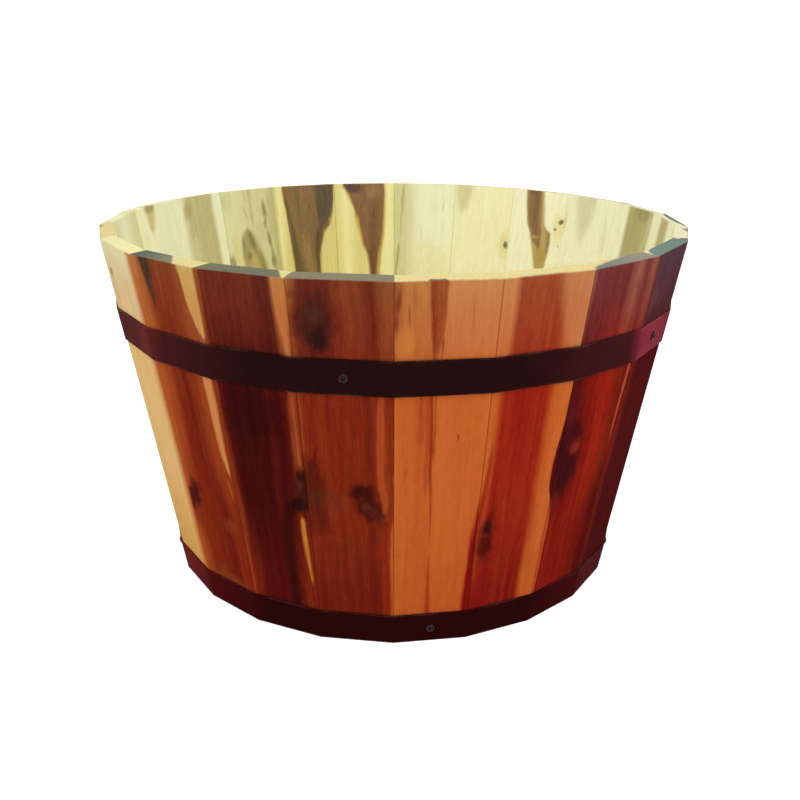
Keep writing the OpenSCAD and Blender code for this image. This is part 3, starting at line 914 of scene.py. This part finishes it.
dress_stave(
    "stave_13",
    body=[(-38, COPPER), (-12, AMBER), (0, BRICK)],
    streaks=[((196, 100, 46), 4, [(0, 32, 4), (200, 34, 4), (338, 37, 3)])],
    patches=[((70, 24, 16), 16, 232, 5, 14, 0.8), ((44, 18, 13), 16, 236, 2.6, 4, 0.9)],
    bends=[(16, 232, 3, 11, 24)],
    inside=[(26, BARE_HONEY), (36, BARE_BUTTER)],
    inside_streaks=[
        ((184, 154, 84), 4, [
            (150, 5, 6), (240, 3.6, 16), (262, 3, 19), (280, 1.2, 22), (290, -3, 27), (305, -4, 30),
            (338, -4.6, 33.6),
        ]),
        ((132, 106, 69), 2.5, [
            (110, 6, -4), (200, 5, 9), (240, 4.5, 14), (255, 3.8, 16.5), (270, 3, 20.2), (284, 1.6, 22.6),
            (290, -1.4, 26.4), (297, -1.2, 26.6), (305, -3.4, 28.8), (320, -4.3, 31.4), (338, -4.3, 33),
        ]),
        ((98, 86, 66), 6, [
            (282, -18, -5), (292, -19, 4), (300, -22, 9), (315, -23.5, 11), (338, -24, 12),
        ]),
        ((108, 84, 60), 4, [
            (200, -6, 1), (236, -8, 2), (255, -9, 2.5), (275, -12, 3.5), (292, -17, 4), (308, -20, -4),
        ]),
        ((106, 91, 57), 5, [
            (200, 13, 2), (228, 15, 3), (245, 16, 3.8), (262, 17.6, 3.4), (280, 18.6, 3), (300, 22, 2.6),
            (320, 25, 2), (336, 26, -4),
        ]),
        ((146, 116, 72), 8, [(200, 3, 4), (262, 4, 6), (280, 4, 3), (294, 4, -6)]),
    ],
    inside_patches=[
        ((150, 106, 86), 1, 331, 6, 7, 0.7), ((136, 100, 76), 22, 331, 6, 6, 0.6),
        ((102, 80, 78), -29, 316, 5, 9, 0.6), ((112, 90, 84), -16, 294, 5, 7, 0.5),
    ],
)
dress_stave(
    "stave_14",
    body=[(-38, CRIMSON), (0, OXBLOOD), (26, MAROON), (38, RUST)],
    streaks=[((64, 18, 14), 6, [(0, -20, 5), (140, -16, 4), (240, -12, 3), (338, -12, 5)])],
    patches=[((50, 18, 14), 14, 176, 11, 13, 0.9, 6), ((92, 42, 28), 14, 178, 4.5, 5, 0.75, 6)],
    bends=[(14, 176, 4, 15, 26)],
    inside=[(-38, BARE_BUTTER), (-33, BARE_OLIVE), (-22, BARE_GREY), (2, BARE_GREY), (18, BARE_ASH)],
    inside_streaks=[
        ((168, 158, 100), 8, [
            (236, 3, 15.5), (252, 3, 15), (262, 4, 13.6), (272, 5.6, 11.4), (282, 7, 9), (290, 7.5, 5),
            (298, 8, -4), (304, 8, -8),
        ], 0.95),
        ((192, 172, 112), 8, [(236, 4, 8), (254, 4, 6), (266, 4, 1), (274, 4, -6)], 0.8),
        ((136, 122, 62), 6, [
            (236, -9, 3), (250, -8, 3), (262, -4, 3), (272, 1, 3.4), (282, 3.6, 2.2), (290, 5, -4),
        ], 0.6),
        ((140, 130, 66), 5, [
            (252, 17, -3), (260, 17, 1.8), (272, 16, 2), (284, 15, 1), (292, 14, -3),
        ], 0.7),
        ((160, 150, 90), 5, [
            (236, -25, 2), (250, -24.5, 3), (262, -23.5, 1.8), (280, -21.5, 1.6), (292, -20, 0.6),
            (306, -18.5, 1.2), (316, -18, 1.8), (326, -19, 0.6), (336, -22, -3),
        ], 0.6),
        ((170, 166, 108), 5, [(292, -3, -4), (300, -2, 1.4), (318, -0.5, 1.6), (338, 0, 2)], 0.6),
        ((172, 168, 110), 5, [(298, 4, -3), (306, 6, 0.6), (316, 9, 1.4), (324, 12, -3)], 0.6),
        ((176, 172, 114), 4, [(318, 6, -3), (328, 6.5, 0.8), (338, 7, 1)], 0.6),
    ],
    inside_patches=[
        ((130, 126, 70), -19, 312, 3, 9, 0.65, 4), ((134, 130, 74), -18, 297, 2, 6, 0.6, -6),
        ((138, 132, 74), -21.5, 277, 2.4, 9, 0.65, 8), ((132, 128, 72), -24, 251, 3, 7, 0.7),
        ((140, 134, 80), -23.5, 262, 1.4, 5, 0.6), ((186, 180, 128), -28, 316, 5, 12, 0.5),
        ((176, 170, 118), -26, 296, 5, 16, 0.35), ((118, 108, 56), 2.5, 276, 3.4, 7, 0.4, 8),
        ((128, 118, 62), 5, 287, 2.4, 4, 0.6), ((116, 100, 44), 9, 262, 3, 5, 0.45),
        ((220, 208, 130), 24, 268, 6, 22, 0.5), ((140, 132, 92), 33, 256, 4.5, 10, 0.75, 8),
        ((196, 188, 136), -8, 284, 6, 16, 0.4, -12), ((180, 186, 132), 32, 326, 8, 12, 0.3),
    ],
)
dress_stave(
    "stave_15",
    body=[(-38, MAROON), (38, OXBLOOD)],
    streaks=[
        ((58, 16, 14), 10, [(0, 12, 10), (140, 10, 6), (260, 14, 3), (338, 16, 4)]),
        ((140, 52, 28), 3, [(0, -30, 2), (170, -32, 1.5), (338, -37, 2)]),
    ],
    patches=[((206, 136, 58), 27, 132, 2.6, 30, 1.0, 2, 0.3)],
    inside=[(-27, BARE_CREAM), (-20, BARE_HEART), (16, BARE_HEART), (26, BARE_CREAM)],
    inside_patches=[((178, 164, 108), 17, 323, 6, 8, 0.7, -20), ((220, 212, 160), 14, 272, 8, 20, 0.6)],
)
dress_stave(
    "stave_16",
    body=[(-38, COPPER), (6, ORANGE), (38, RUST)],
    streaks=[
        ((146, 50, 24), 4, [(0, 20, 4), (150, 22, 3), (338, 26, 4)]),
        ((156, 62, 28), 2, [(0, -18, 1), (338, -22, 1)]),
    ],
    patches=[((96, 36, 20), -10, 246, 5, 8, 0.8), ((56, 24, 16), -10, 247, 2.4, 3.6, 0.8)],
    inside=[(-4, BARE_CREAM), (40, BARE_SAPWOOD)],
    inside_streaks=[((206, 194, 142), 10, [(300, 12, -8), (314, 12, 4), (326, 11, 7.5), (338, 11, 10)])],
    inside_patches=[((170, 150, 106), 10, 336, 8, 5, 0.8)],
)
dress_stave(
    "stave_17",
    body=[(-38, RUST), (-12, BRICK), (38, OXBLOOD)],
    streaks=[
        ((82, 24, 15), 5, [(0, 8, 4), (120, 6, 5), (240, 10, 3), (338, 12, 5)]),
        ((184, 84, 38), 3, [(50, -26, -4), (120, -28, 3), (260, -32, 4), (338, -34, 5)]),
    ],
    patches=[((60, 20, 14), 20, 84, 8, 12, 0.9, -10), ((94, 38, 24), 20, 84, 4, 6, 0.7, -10)],
    bends=[(20, 84, 4, 13, 22)],
    inside=[(-30, BARE_ASH), (8, BARE_CREAM), (40, BARE_ASH)],
)
dress_stave(
    "stave_18",
    body=[(-38, RUST), (-14, AMBER), (12, COPPER), (38, HONEY)],
    streaks=[((112, 34, 18), 4, [(0, -20, 5), (120, -22, 3), (240, -26, 4), (338, -30, 5)])],
    patches=[((84, 32, 20), 6, 196, 4, 7, 0.8)],
    end=[(-34, 0), (-30, 4), (-25, 4), (-20, 0)],
    end_tones=[(0, END_PALE)],
)

# ---- Steel bands --------------------------------------------------------------------
# Two flat steel strips, folded at each joint and lapped at the back. They have a dark brown
# paint, with a painted red reflection towards the two sides. Their edges are a little rubbed,
# and carry a painted highlight along them.
# The darkest colour of each band is its paint; the browns, reds and rose are a painted reflection at its
# two sides.
UPPER_DARK = (37, 15, 15)
UPPER_REFLECTED_BROWN = (64, 25, 27)
UPPER_REFLECTED_RED = (96, 36, 34)
UPPER_REFLECTED_ROSE = (128, 40, 55)
LOWER_DARK = (42, 9, 10)
LOWER_REFLECTED_BROWN = (76, 14, 17)
LOWER_REFLECTED_RED = (106, 27, 22)
# Rubbed steel at the bands' edges, which also stands as a painted highlight along them.
BAND_RUBBED_HIGHLIGHT = (112, 84, 74)
BAND_WEAR_AND_HIGHLIGHT = 0.35
BAND_REACH = 270.0
UPPER_BAND_MIDDLE = 257.2
LOWER_BAND_MIDDLE = 15.4
HALF_BAND = 14.8


def place_in_millimetres(finish):
    """The place on a piece, measured from the middle of the floor under the tub."""
    place = finish.add("ShaderNodeTexCoord", output="Object")
    scale = (1 / MILLIMETRE, 1 / MILLIMETRE, 1 / MILLIMETRE)
    return finish.add("ShaderNodeMapping", inputs={"Vector": place, "Scale": scale})


def dress_band(name, middle, paints_and_reflections):
    """Paints a band. middle is its height. The list of colours gives them from left to right, the paler
    ones at the sides being a painted reflection.
    """
    paint = Finish(name + "_paint")
    place = place_in_millimetres(paint)
    x = paint.add("ShaderNodeSeparateXYZ", inputs={0: place})
    cloud = paint.add("ShaderNodeTexNoise", inputs={"Vector": place, "Scale": 0.03, "Detail": 3.0})
    grit = paint.add("ShaderNodeTexNoise", inputs={"Vector": place, "Scale": 0.55, "Detail": 3.0})
    colour = paint.add(
        "ShaderNodeValToRGB",
        {"stops": [((reach + BAND_REACH) / (2 * BAND_REACH), tint(shade)) for reach, shade in paints_and_reflections]},
        {"Fac": (x + (cloud - 0.5) * 24 + BAND_REACH) / (2 * BAND_REACH)},
    )
    shade = 1 + (cloud - 0.5) * 0.4 + (grit - 0.5) * 0.5
    colour = paint.add("ShaderNodeHueSaturation", inputs={"Value": shade, "Color": colour})
    # Rubbed paint along both edges, also a painted highlight there.
    edge = ease(abs(x.part("Z") - middle), HALF_BAND - 1.4, HALF_BAND - 0.2)
    rubbed_and_highlit = edge * ease(cloud + (grit - 0.5) * 0.3, 0.4, 0.75) * BAND_WEAR_AND_HIGHLIGHT
    bump = paint.add("ShaderNodeBump", inputs={"Strength": 0.25, "Distance": BUMP_DEPTH, "Height": grit})
    paint.lay_on(name, {
        "Base Color": paint.blend(rubbed_and_highlit, colour, tint(BAND_RUBBED_HIGHLIGHT)),
        "Metallic": rubbed_and_highlit,
        "Roughness": 0.42 + (grit - 0.5) * 0.3,
        "Specular IOR Level": 0.0008,
        "Normal": bump,
    })


dress_band("upper_band", UPPER_BAND_MIDDLE, [
    (-262, UPPER_DARK), (-210, UPPER_REFLECTED_RED), (-188, UPPER_REFLECTED_BROWN), (-110, UPPER_DARK),
    (100, UPPER_DARK), (190, UPPER_REFLECTED_BROWN), (210, UPPER_REFLECTED_ROSE), (238, UPPER_REFLECTED_ROSE), (262, UPPER_DARK),
])
dress_band("lower_band", LOWER_BAND_MIDDLE, [
    (-226, LOWER_DARK), (-200, LOWER_REFLECTED_RED), (-170, LOWER_REFLECTED_BROWN), (-110, LOWER_DARK),
    (120, LOWER_DARK), (200, LOWER_REFLECTED_BROWN), (226, LOWER_DARK),
])

# ---- Band screws --------------------------------------------------------------------
# Cross-head screws with a round head, five to a band, driven into the middle of a stave.
# They have the bands' brown paint, knocked off the high parts by the driver.
SCREW_PAINT = (36, 17, 17)
SCREW_STEEL = (128, 108, 98)


def dress_band_screws(name, wear):
    """Paints a band's screws. wear is how bare the driver has left their high parts."""
    paint = Finish(name + "_paint")
    place = place_in_millimetres(paint)
    speck = paint.add("ShaderNodeTexNoise", inputs={"Vector": place, "Scale": 0.7, "Detail": 3.0})
    bare = ease(speck, 0.54, 0.7) * wear
    paint.lay_on(name, {
        "Base Color": paint.blend(bare, tint(SCREW_PAINT), tint(SCREW_STEEL)),
        "Metallic": bare * 0.8,
        "Roughness": 0.5 - bare * 0.1,
        "Specular IOR Level": 0.1,
    })


dress_band_screws("upper_band_screws", 0.45)
dress_band_screws("lower_band_screws", 0.22)

# ---- Base boards and cleats ---------------------------------------------------------
# Five bare boards of the same hardwood, cut to a disc and set in a groove in the staves,
# with two cleats screwed across their underside.
BASE_BOARD_PITCH = 0.08817
BASE_HALF_LENGTH = 0.2225
CLEAT_X = 0.1
CLEAT_HALF_LENGTH = 0.1735
QUARTER_TURN = math.radians(90)
BASE_SEED = 300.0


def dress_bare_board(name, seed, foot, turn, half_length, tones, streaks=(), patches=(), bends=()):
    """Gives a bare board its wood. foot is the middle of one of its ends, where z is 0."""
    board = Board(name + "_wood", seed, foot, turn, 2 * half_length / MILLIMETRE)
    board.lay_grain(bends)
    colour = board.mark(board.tones(tones), streaks, patches)
    fine = board.fibre * 0.7 + board.mottle * 0.5 + board.fleck * 0.4 - board.pores * 0.3
    board.cover(name, board.shade(colour, board.broad * 0.7 + fine, board.mottle * 0.03), BARE_ROUGHNESS)


def dress_base_board(number, tones, streaks=(), patches=(), bends=()):
    """A base board lies along x, with its first end at the left. Across it, x grows to the back."""
    foot = (-BASE_HALF_LENGTH, (number - 3) * BASE_BOARD_PITCH, 0)
    turn = (QUARTER_TURN, 0, QUARTER_TURN)
    name = "base_board_" + str(number)
    seed = BASE_SEED + BOARD_SEED_STEP * number
    dress_bare_board(name, seed, foot, turn, BASE_HALF_LENGTH, tones, streaks, patches, bends)


def dress_cleat(name, x, seed, tones, streaks=()):
    """A cleat lies along y, with its first end in front."""
    foot = (x, -CLEAT_HALF_LENGTH, 0)
    dress_bare_board(name, seed, foot, (-QUARTER_TURN, 0, 0), CLEAT_HALF_LENGTH, tones, streaks)


dress_base_board(
    1,
    [(-42, (206, 190, 136)), (-10, (222, 208, 152)), (20, (216, 200, 146)), (42, (222, 210, 156))],
    streaks=[
        ((176, 146, 92), 6, [
            (60, 22, -4), (120, 22, 1.5), (220, 20, 3), (320, 21, 1.5), (400, 21, -4),
        ], 0.8),
    ],
)
dress_base_board(
    2,
    [
        (-42, (168, 130, 84)), (-30, (150, 110, 70)), (-12, (140, 98, 62)), (-2, (176, 142, 92)),
        (6, (214, 198, 142)), (42, (222, 210, 154)),
    ],
    streaks=[
        ((108, 72, 46), 6, [
            (0, -20, 5), (120, -17, 4), (190, -12, 2.5), (260, -16, 4), (445, -24, 6),
        ], 0.8),
        ((188, 166, 106), 4, [(0, 20, 2), (160, 22, 1), (300, 24, 2), (445, 22, 1)], 0.7),
    ],
    patches=[((84, 56, 40), -10, 158, 6, 9, 0.9), ((120, 84, 58), -10, 156, 3, 4.5, 0.8)],
    bends=[(-10, 158, 5, 12, 24)],
)
dress_base_board(
    3,
    [(-42, (218, 206, 150)), (-20, (224, 212, 158)), (8, (214, 198, 142)), (42, (220, 206, 152))],
    streaks=[
        ((170, 138, 86), 5, [(0, 14, 3), (140, 12, 2), (280, 14, 4), (445, 18, 6)]),
        ((134, 98, 62), 4, [(180, 14, -3), (280, 14.5, 1.5), (445, 18, 3)], 0.8),
    ],
)
dress_base_board(
    4,
    [
        (-42, (220, 208, 152)), (-26, (212, 196, 138)), (-16, (170, 136, 88)), (0, (144, 104, 66)),
        (18, (152, 112, 72)), (28, (206, 186, 130)), (42, (220, 206, 150)),
    ],
    streaks=[
        ((112, 76, 50), 7, [(0, 2, 4), (150, 4, 5), (300, -2, 6), (445, -4, 3)], 0.75),
        ((98, 66, 46), 3, [(60, -12, -2), (160, -11, 1.2), (320, -15, 1.2), (400, -16, -2)], 0.8),
    ],
    patches=[((78, 52, 38), 8, 318, 7, 10, 0.9, 10), ((116, 82, 58), 8, 316, 3.5, 5, 0.8, 10)],
    bends=[(8, 318, 5, 13, 26)],
)
dress_base_board(
    5,
    [(-42, (222, 210, 156)), (0, (216, 202, 148)), (24, (224, 212, 160)), (42, (208, 192, 136))],
    streaks=[((182, 154, 98), 5, [(0, -14, 1), (200, -16, 2.5), (330, -15, 2), (445, -14, 1)], 0.8)],
)
dress_cleat(
    "left_cleat", -CLEAT_X, 400.0,
    [(-15, (214, 198, 142)), (4, (206, 186, 130)), (15, (160, 122, 78))],
)
dress_cleat(
    "right_cleat", CLEAT_X, 420.0,
    [(-15, (216, 202, 148)), (15, (220, 206, 152))],
    streaks=[((172, 140, 88), 4, [(0, 4, 2), (170, 5, 1.5), (347, 3, 3)])],
)

# ---- Cleat screws -------------------------------------------------------------------
# Ten countersunk steel screws with a dull zinc plate. They go up through the cleats, one
# from each cleat into each board.
ZINC_BRIGHT = (186, 186, 176)
ZINC_DULL = (150, 148, 134)

zinc = Finish("zinc_plate")
bloom = zinc.add("ShaderNodeTexNoise", inputs={
    "Vector": zinc.add("ShaderNodeTexCoord", output="Object"), "Scale": 260.0, "Detail": 3.0})
zinc.lay_on("cleat_screws", {
    "Base Color": zinc.blend(ease(bloom, 0.4, 0.65), tint(ZINC_BRIGHT), tint(ZINC_DULL)),
    "Metallic": 1.0,
    "Roughness": 0.34 + (bloom - 0.5) * 0.3,
})
